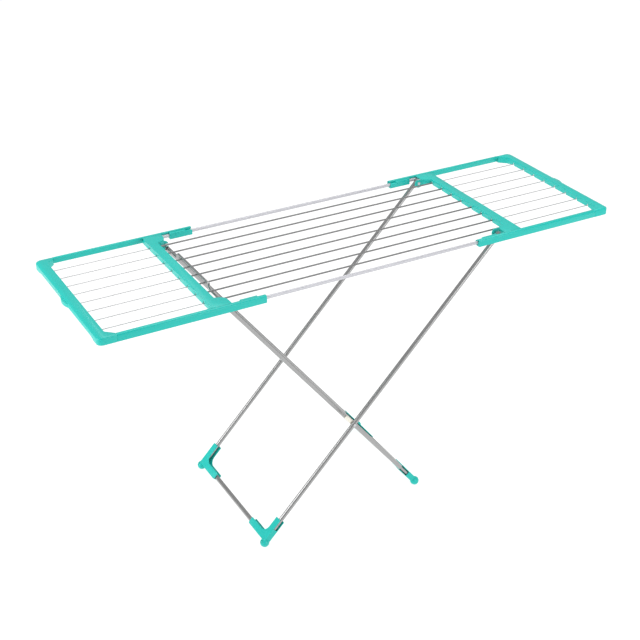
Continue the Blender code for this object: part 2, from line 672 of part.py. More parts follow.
def top_bar():
    """The cranked bar under the outer rods and over the middle ones; the left legs hang on its ends."""
    guide = empty("top_bar_slide", LEFT_PIVOT)
    x, low = LEFT_PIVOT.x, LEFT_PIVOT.z
    rise = TOP_BAR_CRANK_Z - low
    route = [(-TOP_BAR_END_Y, low)]
    steps = 8
    for i in range(steps + 1):
        t = i / steps
        ease = t * t * (3 - 2 * t)
        route.append((-TOP_BAR_CRANK_Y + TOP_BAR_BEND * (2 * t - 1), low + rise * ease))
    route += [(-y, z) for y, z in reversed(route)]
    curve = bpy.data.curves.new("top_bar", "CURVE")
    curve.dimensions = "3D"
    curve.bevel_depth = TOP_BAR_RADIUS
    curve.bevel_resolution = 3
    curve.use_fill_caps = True
    spline = curve.splines.new("POLY")
    spline.points.add(len(route) - 1)
    for point, (y, z) in zip(spline.points, route):
        point.co = (x, y, z, 1.0)
    thing = bpy.data.objects.new("top_bar", curve)
    bpy.context.scene.collection.objects.link(thing)
    curve.materials.append(finish("grey_paint"))
    ride(thing, guide)
    for name, end in (("front_bar_cap", -1), ("rear_bar_cap", 1)):
        cap_ends = [(x, end * (TOP_BAR_END_Y + y), low) for y in (GAP, GAP + CAP_LENGTH)]
        ride(place(name, bar(*cap_ends, CAP_RADIUS, 16), "teal_plastic"), guide)
    return guide


def left_legs(bar_guide):
    """The narrow leg frame, with a spacer on each leg where it crosses the wide frame."""
    up = LEFT_PIVOT - LEFT_FOOT
    guide = empty("left_leg_hinge", (0.0, 0.0, 0.0), math.atan2(up.x, up.z), bar_guide)
    cross_at = leg_frame("left", LEFT_PIVOT, LEFT_FOOT, LEFT_LEG_Y, TOP_BAR_RADIUS + GAP, guide)
    inner = LEFT_LEG_Y + LEG_RADIUS + GAP
    outer = RIGHT_LEG_Y - LEG_RADIUS - SPACER_CLEARANCE
    half = (SPACER_LENGTH - SPACER_WIDTH) / 2
    outline = arc((0.0, -cross_at + half), SPACER_WIDTH / 2, 0, 180, 8)
    outline += arc((0.0, -cross_at - half), SPACER_WIDTH / 2, 180, 360, 8)
    for name, end in (("front_crossing_spacer", -1), ("rear_crossing_spacer", 1)):
        place(name, prism(outline, "Y", end * inner, end * outer), "cream_plastic", guide)


def main():
    clear_scene()
    middle_section()
    for side in (-1, 1):
        wing(side)
    right_legs()
    left_legs(top_bar())


main()
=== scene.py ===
import json
import math

import bmesh
import bpy
import numpy as np
from bpy.props import FloatProperty, FloatVectorProperty, IntProperty, PointerProperty
from mathutils import Matrix, Vector


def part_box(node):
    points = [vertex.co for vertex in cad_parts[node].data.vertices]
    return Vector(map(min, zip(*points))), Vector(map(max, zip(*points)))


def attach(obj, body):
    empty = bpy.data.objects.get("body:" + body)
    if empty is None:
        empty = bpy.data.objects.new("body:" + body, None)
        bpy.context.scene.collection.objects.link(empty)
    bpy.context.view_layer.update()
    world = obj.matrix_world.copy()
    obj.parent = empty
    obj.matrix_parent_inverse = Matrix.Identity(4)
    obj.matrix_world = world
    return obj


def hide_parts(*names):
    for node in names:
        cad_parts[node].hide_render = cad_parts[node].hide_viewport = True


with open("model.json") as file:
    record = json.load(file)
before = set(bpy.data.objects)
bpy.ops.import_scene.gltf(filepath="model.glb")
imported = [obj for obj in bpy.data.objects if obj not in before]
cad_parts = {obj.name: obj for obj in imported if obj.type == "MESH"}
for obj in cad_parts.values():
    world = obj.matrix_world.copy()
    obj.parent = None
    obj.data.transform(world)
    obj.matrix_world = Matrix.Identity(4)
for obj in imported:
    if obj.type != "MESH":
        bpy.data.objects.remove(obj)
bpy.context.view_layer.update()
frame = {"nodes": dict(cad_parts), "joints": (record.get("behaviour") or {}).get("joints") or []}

bl_info = {
    "name": "Drying Rack",
    "version": (1, 0, 0),
    "blender": (4, 5, 0),
    "location": "3D View > Sidebar > Drying Rack",
    "description": "Builds the finished pieces of a folding clothes drying rack around its frame",
    "category": "Object",
}

NODES = frame["nodes"]
JOINTS = {joint["name"]: joint for joint in frame["joints"]}
ROD_COUNT = sum(1 for name in NODES if name.startswith("rod_"))
SIDES = (("left", -1), ("right", 1))
ENDS = (("front", -1), ("rear", 1))
CLEARANCE = 0.0003


# ---- places, read from the frame

def axis_of(node):
    """(start, end, radius) of a long round node, whose end is higher, or further along X or Y."""
    points = np.array([v.co for v in NODES[node].data.vertices], float)
    middle = (points.min(0) + points.max(0)) / 2
    direction = np.linalg.svd(points - middle, full_matrices=False)[2][0]
    if direction[np.argmax(abs(direction))] < 0 or direction[2] < -0.1:
        direction = -direction
    along = (points - middle) @ direction
    rings = [points[along < along.min() + 0.001], points[along > along.max() - 0.001]]
    start, end = [Vector((ring.min(0) + ring.max(0)) / 2) for ring in rings]
    radius = max(np.linalg.norm(np.cross(points - np.array(start), direction), axis=1))
    return start, end, radius


def span(node, axis):
    low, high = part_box(node)
    return low[axis], high[axis]


def rod_places():
    """The y of every rod, in order, and their common height."""
    boxes = [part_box(f"rod_{i + 1}") for i in range(ROD_COUNT)]
    return [(low.y + high.y) / 2 for low, high in boxes], (boxes[0][0].z + boxes[0][1].z) / 2


ROD_YS, ROD_Z = rod_places()
ROD_PITCH = ROD_YS[1] - ROD_YS[0]
ROD_SEAT = (span("rod_1", 1)[1] - span("rod_1", 1)[0]) / 2 + CLEARANCE
PIN_HOLE = 0.0033


# ---- settings

def size(name, description, default):
    return FloatProperty(name=name, description=description, default=default, unit="LENGTH", precision=5)


def colour(name, description, default):
    return FloatVectorProperty(name=name, description=description, default=default, size=3, subtype="COLOR",
                               min=0.0, max=1.0)


class RackMouldings(bpy.types.PropertyGroup):
    edge: size("Edge radius", "Radius of the mouldings' ordinary edges", 0.0008)
    wall: size("Wall", "Thickness of the mouldings' skirts", 0.0019)
    crossbar_width: size("Crossbar width", "Width of a crossbar between its gussets", 0.0315)
    end_bar_width: size("End bar width", "Width of an end bar between its gussets", 0.0325)
    skirt: size("Skirt", "Height of a crossbar, and of an end bar away from its corners", 0.019)
    gusset: size("Gusset", "How far the crossbar's gussets reach inwards", 0.0285)
    gusset_length: size("Gusset length", "Length of a crossbar's gusset along the bar", 0.016)
    boss_radius: size("Boss radius", "Radius of the pivot bosses", 0.016)
    boss_wall: size("Boss wall", "Thickness of the pivot bosses", 0.003)
    boss_slot: size("Boss slot", "Half the width of the slots that hold the top bar", 0.0045)
    boss_groove: size("Boss groove", "Radius of the ring round the leg pin", 0.0112)
    shelf_reach: size("Shelf reach", "How far the shelf to the rail stands in front of the gusset", 0.0045)
    saddle: size("Saddle", "From the crossbar's outer side to the wall that seats the rods", 0.017)
    ear: size("Ear", "Thickness of the ears that close the side tubes", 0.0035)
    slot: size("Slot", "Half the width of the slots under the rods", 0.0038)
    wire_slot: size("Wire slot", "Half the width of the slots the wires pass through", 0.0028)
    rib: size("Rib", "Thickness of the stiffening ribs", 0.0014)
    ramp: size("Ramp", "Length over which the end bar's skirt gets shallower", 0.030)
    slope: size("Slope", "Width of the end bar's sloping outer side", 0.011)
    drop: size("Drop", "How far the end bar's outer side falls", 0.0055)
    corner: size("Corner", "Radius of the wing's corners, seen from above", 0.018)
    corner_gusset: size("Corner gusset", "Length of the wing's corner gussets along the end bar", 0.036)
    rail_round: size("Rail edge", "Radius of the rails' outer top edge", 0.006)
    rail_wall: size("Rail wall", "Thickness of the rails", 0.0022)
    rail_lip: size("Rail lip", "Height of the rails' inner lip", 0.0065)
    bush_step: size("Bush step", "Length of the bush under the rail's end", 0.0234)
    grip_length: size("Grip length", "Length of the finger grips", 0.075)
    grip_depth: size("Grip depth", "How far the finger grips stand out", 0.008)


class RackTubes(bpy.types.PropertyGroup):
    rod_bore: size("Rod bore", "Inner radius of the hanging rods", 0.0019)
    tube_wall: size("Tube wall", "Wall of the side tubes and leg tubes", 0.001)
    rod_sides: IntProperty(name="Rod sides", description="Faces round a rod or wire", default=16, min=8)
    tube_sides: IntProperty(name="Tube sides", description="Faces round a tube", default=36, min=12)
    rim: size("Rim", "Rounding of the tubes' cut ends", 0.0003)
    crank: size("Crank", "From the rack's middle to the top bar's bends", 0.122)
    bend: size("Bend", "Half the length of a bend in the top bar", 0.008)
    shank: size("Shank", "Radius of the pins' and rivets' shanks", 0.003)
    dome: size("Dome", "Height of the pins' and rivets' heads", 0.0018)
    spacer_half: size("Spacer length", "Half the straight length of a crossing spacer", 0.004)
    spacer_round: size("Spacer round", "Radius of a crossing spacer's round ends", 0.007)


class RackFeet(bpy.types.PropertyGroup):
    edge: size("Edge radius", "Radius of the elbows' edges", 0.0011)
    wall: size("Wall", "Thickness of the elbows' plates", 0.0022)
    leg_arm: size("Leg arm", "Length of the arm along the leg tube", 0.089)
    cross_arm: size("Cross arm", "Length of the arm along the foot tube", 0.110)
    outer: size("Outer side", "Distance from a tube's axis to the elbow's outer side", 0.0105)
    leg_inner: size("Leg side", "Distance from the leg tube's axis to the arm's inner side", 0.015)
    cross_inner: size("Foot side", "Distance from the foot tube's axis to the arm's inner side", 0.013)
    arc: size("Inner arc", "Radius of the inner corner", 0.026)
    knob: size("Knob", "Radius of the round foot", 0.0157)
    knob_offset: size("Knob offset", "How far the foot's centre lies beyond the tubes' corner", 0.004)
    window: size("Window", "Length of the leg arm whose outer side is open", 0.038)
    small_round: size("Small round", "Radius of the foot arm's upper end corner", 0.003)
    large_round: size("Large round", "Radius of the foot arm's lower end corner", 0.006)
    ring: size("Ring", "Radius of the ring in the round foot's faces", 0.0058)


class RackFinishes(bpy.types.PropertyGroup):
    teal: colour("Teal", "Colour of the mouldings", (0.008, 0.545, 0.480))
    leg: colour("Leg paint", "Colour of the leg tubes", (0.400, 0.400, 0.400))
    rod: colour("Rod paint", "Colour of the hanging rods", (0.190, 0.190, 0.190))
    side: colour("Side tube", "Colour of the side tubes", (0.550, 0.550, 0.590))
    wire: colour("Wire", "Colour of the wing wires", (0.500, 0.500, 0.510))
    cream: colour("Spacer", "Colour of the crossing spacers", (0.850, 0.820, 0.720))
    zinc: colour("Zinc", "Colour of the pins and rivets", (0.620, 0.630, 0.640))


class RackStage(bpy.types.PropertyGroup):
    floor: size("Floor", "Width of the floor", 60.0)
    power: FloatProperty(name="Light", description="Strength of the soft lights", default=1.0)
    distance: size("Camera distance", "From the origin to the camera plane", 4.720)
    lens: FloatProperty(name="Lens", description="Focal length in millimetres", default=72.95)
    azimuth: FloatProperty(name="Azimuth", description="Camera angle round the rack", subtype="ANGLE",
                           default=math.radians(-28.48))
    elevation: FloatProperty(name="Elevation", description="Camera angle above the horizon", subtype="ANGLE",
                             default=math.radians(29.05))
    roll: FloatProperty(name="Roll", description="Camera roll", subtype="ANGLE", default=math.radians(-0.52))
    slide: size("Slide", "How far the camera stands to the right of the origin", -0.0437)
    rise: size("Rise", "How far the camera stands above the origin, across its view", 0.5385)
    foot_axis: size("Foot axis", "Height of the foot tubes, from which the camera's place is measured", 0.018)


def settings(name):
    return getattr(bpy.context.scene, name)


# ---- shapes

def place_in_scene(name, data):
    """A new object with this mesh, curve, lamp or camera, in the scene."""
    thing = bpy.data.objects.new(name, data)
    bpy.context.scene.collection.objects.link(thing)
    return thing


def solid_of(mesh_data, name):
    """An object from a bmesh, with its faces turned outwards."""
    bmesh.ops.recalc_face_normals(mesh_data, faces=mesh_data.faces)
    mesh = bpy.data.meshes.new(name)
    mesh_data.to_mesh(mesh)
    mesh_data.free()
    return place_in_scene(name, mesh)


def freeze(thing):
    """Replace the object's mesh by what its modifiers make of it."""
    bpy.context.view_layer.update()
    graph = bpy.context.evaluated_depsgraph_get()
    mesh = bpy.data.meshes.new_from_object(thing.evaluated_get(graph))
    thing.modifiers.clear()
    if thing.type == "MESH":
        thing.data = mesh
        return thing
    name = thing.name
    bpy.data.objects.remove(thing)
    return place_in_scene(name, mesh)


def combine(target, tool, operation="DIFFERENCE"):
    """Cut tool out of target, or join it on, and drop the tool."""
    modifier = target.modifiers.new(operation, "BOOLEAN")
    modifier.operation = operation
    modifier.solver = "EXACT"
    modifier.use_self = True
    modifier.object = tool
    freeze(target)
    bpy.data.objects.remove(tool)
    return target


def prism(outline, axis, low, high, name="prism"):
    """A flat outline drawn out along X, Y or Z; its coordinates are the other two axes, in X, Y, Z order."""
    def corner(a, b, t):
        return {"X": (t, a, b), "Y": (a, t, b), "Z": (a, b, t)}[axis]

    low, high = sorted((low, high))
    mesh = bmesh.new()
    bottom = [mesh.verts.new(corner(a, b, low)) for a, b in outline]
    top = [mesh.verts.new(corner(a, b, high)) for a, b in outline]
    mesh.faces.new(bottom)
    mesh.faces.new(top)
    for i in range(len(outline)):
        j = (i + 1) % len(outline)
        mesh.faces.new((bottom[i], bottom[j], top[j], top[i]))
    return solid_of(mesh, name)


def block(corner_a, corner_b):
    low = [min(a, b) for a, b in zip(corner_a, corner_b)]
    high = [max(a, b) for a, b in zip(corner_a, corner_b)]
    outline = [(low[0], low[1]), (high[0], low[1]), (high[0], high[1]), (low[0], high[1])]
    return prism(outline, "Z", low[2], high[2])


def arc(centre, radius, start, end, steps=10):
    """Points on a circle from one angle to another, in degrees."""
    angles = [math.radians(start + (end - start) * i / steps) for i in range(steps + 1)]
    return [(centre[0] + radius * math.cos(a), centre[1] + radius * math.sin(a)) for a in angles]


def line_matrix(start, end):
    """The matrix that takes +Z to the line from start to end."""
    start, end = Vector(start), Vector(end)
    return Matrix.Translation(start) @ (end - start).to_track_quat("Z", "Y").to_matrix().to_4x4()


def turned(profile, start, end, sides, closed=False, name="turned"):
    """A turned solid on a line, from (distance along, radius) points; closed joins the last to the first."""
    mesh = bmesh.new()
    rings = []
    for distance, radius in profile:
        angles = [2 * math.pi * i / sides for i in range(sides)]
        rings.append([mesh.verts.new((radius * math.cos(a), radius * math.sin(a), distance)) for a in angles])
    for k in range(len(rings) - (0 if closed else 1)):
        lower, upper = rings[k], rings[(k + 1) % len(rings)]
        for i in range(sides):
            j = (i + 1) % sides
            mesh.faces.new((lower[i], lower[j], upper[j], upper[i]))
    if not closed:
        mesh.faces.new(rings[0])
        mesh.faces.new(rings[-1])
    mesh.transform(line_matrix(start, end))
    return solid_of(mesh, name)


def tube(start, end, radius, wall, sides, rim):
    """A hollow tube with softened rims."""
    length = (Vector(end) - Vector(start)).length
    bore = radius - wall
    profile = [(rim, radius), (length - rim, radius), (length, radius - rim), (length, bore + rim),
               (length - rim, bore), (rim, bore), (0.0, bore + rim), (0.0, radius - rim)]
    return turned(profile, start, end, sides, True, "tube")


def cylinder(start, end, radius, sides=24):
    length = (Vector(end) - Vector(start)).length
    return turned([(0.0, radius), (length, radius)], start, end, sides)


def mirrored(outline, side_a, side_b=1):
    return [(side_a * a, side_b * b) for a, b in outline]


def soften(thing, width, segments=2, limit=32.0):
    """Round the sharp edges, then shade smooth."""
    tidy = bmesh.new()
    tidy.from_mesh(thing.data)
    bmesh.ops.remove_doubles(tidy, verts=tidy.verts, dist=0.00002)
    bmesh.ops.dissolve_limit(tidy, angle_limit=math.radians(1.0), verts=tidy.verts, edges=tidy.edges)
    tidy.to_mesh(thing.data)
    tidy.free()
    bevel = thing.modifiers.new("Edges", "BEVEL")
    bevel.width = width
    bevel.segments = segments
    bevel.limit_method = "ANGLE"
    bevel.angle_limit = math.radians(limit)
    bevel.use_clamp_overlap = True
    freeze(thing)
    smooth(thing)


def smooth(thing, angle=38.0):
    thing.data.shade_smooth()
    thing.data.set_sharp_from_angle(angle=math.radians(angle))
    return thing


def piece(thing, name, material, body, slot_name, *stands_for):
    """Name a finished mesh, give it its material and let it ride on its body."""
    thing.name = name
    thing.data.name = name
    thing.data.materials.clear()
    thing.data.materials.append(material)
    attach(thing, body)
    if stands_for:
        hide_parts(*stands_for)
    return thing


# ---- geometry nodes

def connect(tree, *joins):
    """Link sockets, each join given as (node, output, node, input)."""
    for source, output, target, entry in joins:
        tree.links.new(source.outputs[output], target.inputs[entry])


def fill(node, values):
    """Set a node's input sockets by name."""
    for label, value in values.items():
        node.inputs[label].default_value = value


def math_node(nodes, operation, second=0.5):
    made = nodes.new("ShaderNodeMath")
    made.operation = operation
    made.inputs[1].default_value = second
    return made


def new_tree(name, sockets):
    """An empty geometry tree with a geometry input and output and the named inputs."""
    tree = bpy.data.node_groups.new(name, "GeometryNodeTree")
    tree.interface.new_socket("Geometry", in_out="INPUT", socket_type="NodeSocketGeometry")
    for label, kind, default in sockets:
        socket = tree.interface.new_socket(label, in_out="INPUT", socket_type=kind)
        if default is not None:
            socket.default_value = default
    tree.interface.new_socket("Geometry", in_out="OUTPUT", socket_type="NodeSocketGeometry")
    return tree


def row_tree():
    """Repeats the incoming shape along Y, centred, and gives the row its material."""
    tree = bpy.data.node_groups.get("Row along Y")
    if tree:
        return tree
    sockets = (("Count", "NodeSocketInt", 8), ("Pitch", "NodeSocketFloat", 0.06),
               ("Material", "NodeSocketMaterial", None))
    tree = new_tree("Row along Y", sockets)
    nodes = tree.nodes
    entry = nodes.new("NodeGroupInput")
    leave = nodes.new("NodeGroupOutput")
    line = nodes.new("GeometryNodeMeshLine")
    step = nodes.new("ShaderNodeCombineXYZ")
    first = nodes.new("ShaderNodeCombineXYZ")
    gaps = math_node(nodes, "SUBTRACT", 1.0)
    whole = math_node(nodes, "MULTIPLY")
    back = math_node(nodes, "MULTIPLY", -0.5)
    copies = nodes.new("GeometryNodeInstanceOnPoints")
    real = nodes.new("GeometryNodeRealizeInstances")
    paint = nodes.new("GeometryNodeSetMaterial")
    connect(tree, (entry, "Count", line, "Count"), (entry, "Count", gaps, 0), (gaps, 0, whole, 0),
            (entry, "Pitch", whole, 1), (whole, 0, back, 0), (back, 0, first, "Y"),
            (entry, "Pitch", step, "Y"), (first, 0, line, "Start Location"),
            (step, 0, line, "Offset"), (line, 0, copies, "Points"),
            (entry, "Geometry", copies, "Instance"), (copies, 0, real, 0), (real, 0, paint, "Geometry"),
            (entry, "Material", paint, "Material"), (paint, 0, leave, 0))
    return tree


def sweep_tree():
    """Sweeps a circle along the incoming curve, with closed ends."""
    tree = bpy.data.node_groups.get("Round bar on a path")
    if tree:
        return tree
    sockets = (("Radius", "NodeSocketFloat", 0.004), ("Sides", "NodeSocketInt", 24),
               ("Material", "NodeSocketMaterial", None))
    tree = new_tree("Round bar on a path", sockets)
    nodes = tree.nodes
    entry = nodes.new("NodeGroupInput")
    leave = nodes.new("NodeGroupOutput")
    circle = nodes.new("GeometryNodeCurvePrimitiveCircle")
    sweep = nodes.new("GeometryNodeCurveToMesh")
    sweep.inputs["Fill Caps"].default_value = True
    real = nodes.new("GeometryNodeRealizeInstances")
    paint = nodes.new("GeometryNodeSetMaterial")
    connect(tree, (entry, "Radius", circle, "Radius"), (entry, "Sides", circle, "Resolution"),
            (entry, "Geometry", sweep, "Curve"), (circle, 0, sweep, "Profile Curve"), (sweep, 0, real, 0),
            (real, 0, paint, "Geometry"), (entry, "Material", paint, "Material"), (paint, 0, leave, 0))
    return tree


def run_tree(thing, tree, **values):
    """Put the tree on the object with its inputs set by name, and keep the result as a plain mesh."""
    modifier = thing.modifiers.new(tree.name, "NODES")
    modifier.node_group = tree
    for item in tree.interface.items_tree:
        if item.in_out == "INPUT" and item.name.lower() in values:
            modifier[item.identifier] = values[item.name.lower()]
    return freeze(thing)


def row(thing, count, pitch, material=None):
    return run_tree(thing, row_tree(), count=count, pitch=pitch, material=material)


# ---- finishes

def surface_group():
    """A shared effect: slow colour drift, fine grain and light dust, read in object space."""
    group = bpy.data.node_groups.get("Moulded and painted surface")
    if group:
        return group
    group = bpy.data.node_groups.new("Moulded and painted surface", "ShaderNodeTree")
    face = group.interface
    inputs = {"Colour": (0.5, 0.5, 0.5, 1.0), "Shade": (0.4, 0.4, 0.4, 1.0), "Roughness": 0.4,
              "Roughness spread": 0.1, "Drift scale": 9.0, "Grain scale": 900.0, "Dust": 0.05}
    for label, default in inputs.items():
        kind = "NodeSocketColor" if isinstance(default, tuple) else "NodeSocketFloat"
        face.new_socket(label, in_out="INPUT", socket_type=kind).default_value = default
    for label, kind in (("Colour", "NodeSocketColor"), ("Roughness", "NodeSocketFloat"),
                        ("Height", "NodeSocketFloat")):
        face.new_socket(label, in_out="OUTPUT", socket_type=kind)
    nodes = group.nodes
    entry = nodes.new("NodeGroupInput")
    leave = nodes.new("NodeGroupOutput")
    place = nodes.new("ShaderNodeTexCoord")
    drift = nodes.new("ShaderNodeTexNoise")
    fill(drift, {"Detail": 3.0})
    grain = nodes.new("ShaderNodeTexNoise")
    fill(grain, {"Detail": 2.0})
    tint = nodes.new("ShaderNodeMix")
    tint.data_type = "RGBA"
    spread = math_node(nodes, "MULTIPLY_ADD")
    normal = nodes.new("ShaderNodeNewGeometry")
    split = nodes.new("ShaderNodeSeparateXYZ")
    upward = nodes.new("ShaderNodeMapRange")
    fill(upward, {"From Min": 0.6, "From Max": 1.0})
    dusting = math_node(nodes, "MULTIPLY")
    patch = math_node(nodes, "MULTIPLY")
    powder = nodes.new("ShaderNodeMix")
    powder.data_type = "RGBA"
    powder.inputs["B"].default_value = (0.78, 0.78, 0.76, 1.0)
    connect(group, (place, "Object", drift, "Vector"), (place, "Object", grain, "Vector"),
            (entry, "Drift scale", drift, "Scale"), (entry, "Grain scale", grain, "Scale"),
            (drift, "Fac", tint, "Factor"), (entry, "Shade", tint, "A"), (entry, "Colour", tint, "B"),
            (drift, "Fac", spread, 0), (entry, "Roughness spread", spread, 1),
            (entry, "Roughness", spread, 2), (normal, "Normal", split, 0),
            (split, "Z", upward, "Value"), (upward, "Result", dusting, 0),
            (entry, "Dust", dusting, 1), (dusting, 0, patch, 0), (drift, "Fac", patch, 1),
            (patch, 0, powder, "Factor"), (tint, "Result", powder, "A"), (powder, "Result", leave, "Colour"),
            (spread, 0, leave, "Roughness"), (grain, "Fac", leave, "Height"))
    return group


def finish_material(name, base, dark, roughness, spread, drift, grain, bump,
                    dust=0.05, metallic=0.0, coat=0.0, specular=0.5):
    """A material made of the shared effect; dark is how bright its shaded patches are, as a share of base."""
    material = bpy.data.materials.get(name)
    if material:
        return material
    material = bpy.data.materials.new(name)
    material.use_nodes = True
    nodes = material.node_tree.nodes
    shader = nodes["Principled BSDF"]
    fill(shader, {"Metallic": metallic, "Coat Weight": coat, "Coat Roughness": 0.15,
                  "Specular IOR Level": specular})
    effect = nodes.new("ShaderNodeGroup")
    effect.node_tree = surface_group()
    shade = [channel * dark for channel in base]
    fill(effect, {"Colour": (*base, 1.0), "Shade": (*shade, 1.0), "Roughness": roughness,
                  "Roughness spread": spread, "Drift scale": drift, "Grain scale": grain, "Dust": dust})
    height = nodes.new("ShaderNodeBump")
    fill(height, {"Strength": bump, "Distance": 0.0002})
    connect(material.node_tree, (effect, "Colour", shader, "Base Color"),
            (effect, "Roughness", shader, "Roughness"), (effect, "Height", height, "Height"),
            (height, "Normal", shader, "Normal"))
    material.diffuse_color = (*base, 1.0)
    return material


def teal_plastic():
    base = settings("rack_finishes").teal
    return finish_material("Teal polypropylene", base, 0.94, 0.30, 0.10, 7.0, 1400.0, 0.25,
                           dust=0.02, specular=0.42)


def leg_paint():
    base = settings("rack_finishes").leg
    return finish_material("Grey powder coat", base, 0.90, 0.22, 0.10, 14.0, 1800.0, 0.3,
                           dust=0.03, metallic=0.85, coat=0.15)


def rod_paint():
    base = settings("rack_finishes").rod
    return finish_material("Grey rod coating", base, 0.88, 0.32, 0.12, 18.0, 1600.0, 0.2,
                           dust=0.06, metallic=0.25, coat=0.2)


def side_paint():
    base = settings("rack_finishes").side
    return finish_material("Pale tube lacquer", base, 0.95, 0.28, 0.10, 10.0, 1500.0, 0.15,
                           dust=0.04, metallic=0.1, coat=0.4)


def wire_coating():
    base = settings("rack_finishes").wire
    return finish_material("Galvanised wire", base, 0.86, 0.30, 0.16, 30.0, 1200.0, 0.2,
                           dust=0.0, metallic=0.5)


def cream_plastic():
    base = settings("rack_finishes").cream
    return finish_material("Natural nylon", base, 0.94, 0.42, 0.10, 20.0, 1500.0, 0.2)


def zinc():
    base = settings("rack_finishes").zinc
    return finish_material("Zinc plate", base, 0.80, 0.30, 0.18, 90.0, 2200.0, 0.3,
                           dust=0.0, metallic=0.9)


# ---- middle section

def slot_row(side, x_near, x_far, half_width, bottom, rise=0.0):
    """A row of U-shaped slots across a skirt, open below and round at a height rise above the rods."""
    outline = [(-half_width, bottom), (half_width, bottom)] + arc((0.0, ROD_Z + rise), half_width, 0, 180, 12)
    return row(prism(outline, "X", side * x_near, side * x_far, "slots"), ROD_COUNT, ROD_PITCH)


def boss(shell, side, end, inner, bottom, top, plate_in):
    """Join a round pivot plate to a crossbar: bored for the leg pin, or slotted for the top bar."""
    own = settings("rack_mouldings")
    hinge = JOINTS["right_leg_hinge" if side > 0 else "left_leg_hinge"]["pos_m"]
    x, z = abs(hinge[0]), hinge[2]
    plate_out = plate_in + own.boss_wall
    plate = [(inner, bottom), (inner, top)]
    plate += [(a, min(b, top)) for a, b in arc((x, z), own.boss_radius, 60, 300, 32)]
    combine(shell, prism(mirrored(plate, side), "Y", end * plate_in, end * plate_out), "UNION")
    near, far = plate_in - 0.010, plate_out + 0.010
    if side > 0:
        combine(shell, cylinder((x, end * near, z), (x, end * far, z), PIN_HOLE))
        groove_floor = plate_in + 0.0006
        ring = tube((x, end * near, z), (x, end * groove_floor, z), own.boss_groove, 0.0010, 40, 0.0001)
        combine(shell, ring)
    else:
        mouth = x - own.boss_radius - 0.010
        slot = [(mouth, z + own.boss_slot)] + arc((x, z), own.boss_slot, 90, -90, 12)
        slot += [(mouth, z - own.boss_slot)]
        combine(shell, prism(mirrored(slot, side), "Y", end * near, end * far))


def crossbar(label, side):
    """The moulded bar at one end of the middle section: a skirted channel with gussets and bosses."""
    own = settings("rack_mouldings")
    node = f"{label}_crossbar"
    low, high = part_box(node)
    outer = abs(low.x if side < 0 else high.x)
    inner = outer - own.crossbar_width
    top = high.z
    bottom = top - own.skirt
    leg_low, leg_high = span("right_rear_leg_tube", 1)
    plate_in = leg_low - 0.010
    tube_start, _, tube_radius = axis_of("rear_side_tube")
    tube_y, tube_z = tube_start.y, tube_start.z
    end_y = tube_y - tube_radius - 0.00225
    nose_x = inner - own.gusset
    start_y = plate_in - own.gusset_length
    lane_x = nose_x + (leg_high - leg_low) - 0.002
    plate_out = plate_in + own.boss_wall

    def outline(inset):
        half = [(outer - inset, 0.0), (outer - inset, end_y - inset), (lane_x + inset, end_y - inset)]
        half += [(lane_x + inset, plate_out - inset), (nose_x + inset, plate_out - inset)]
        for i in range(17):
            t = i / 16
            half.append((nose_x + inset + own.gusset * t ** 1.5, plate_in + (start_y - plate_in) * t))
        return mirrored(half + [(a, -b) for a, b in reversed(half[1:])], side)

    shell = prism(outline(0.0), "Z", bottom, top, node)
    combine(shell, prism(outline(own.wall), "Z", bottom - 0.01, top - own.wall))
    ribs = row(block((side * (inner + 0.001), -own.rib / 2, bottom + 0.004),
                     (side * (outer - 0.001), own.rib / 2, top - 0.001)), ROD_COUNT - 1, ROD_PITCH)
    combine(shell, ribs, "UNION")
    saddle_x = outer - own.saddle
    saddle = block((side * saddle_x, -plate_in, bottom + 0.0006),
                   (side * (saddle_x + own.wall), plate_in, top - own.wall / 2))
    combine(shell, saddle, "UNION")
    for _, end in ENDS:
        front_x = nose_x - own.shelf_reach
        shelf = [(nose_x, plate_in), (outer, plate_in), (outer, tube_y + 0.001), (front_x, tube_y + 0.001)]
        shelf += [(front_x, plate_in + 0.0145), (front_x + 0.0015, plate_in + 0.007)]
        combine(shell, prism(mirrored(shelf, side, end), "Z", top - own.wall, top), "UNION")
        boss(shell, side, end, inner, bottom, top - 0.0003, plate_in)
        ear = [(tube_y - 0.012, tube_z + tube_radius), (tube_y - 0.012, tube_z - tube_radius)]
        ear += arc((tube_y, tube_z), tube_radius, -90, 90, 16)
        combine(shell, prism(mirrored(ear, end), "X", side * (outer - own.ear), side * outer), "UNION")
    combine(shell, slot_row(side, nose_x - 0.010, inner + 0.006, own.slot, bottom - 0.005, 0.0015))
    combine(shell, slot_row(side, outer - 0.006, outer + 0.004, own.wire_slot, bottom - 0.005, 0.004))
    seat_start = (side * (saddle_x - 0.002), 0.0, ROD_Z)
    seat_stop = (side * (saddle_x + 0.005), 0.0, ROD_Z)
    combine(shell, row(cylinder(seat_start, seat_stop, ROD_SEAT), ROD_COUNT, ROD_PITCH))
    soften(shell, own.edge)
    piece(shell, f"{label}_crossbar_moulding", teal_plastic(), "middle_frame", "teal_plastic", node)


class RackCrossbars(bpy.types.Operator):
    """Mould the two crossbars, with their rod slots, gussets and pivot bosses"""
    bl_idname = "rack.crossbars"
    bl_label = "Crossbars"

    def execute(self, context):
        for label, side in SIDES:
            crossbar(label, side)
        return {"FINISHED"}


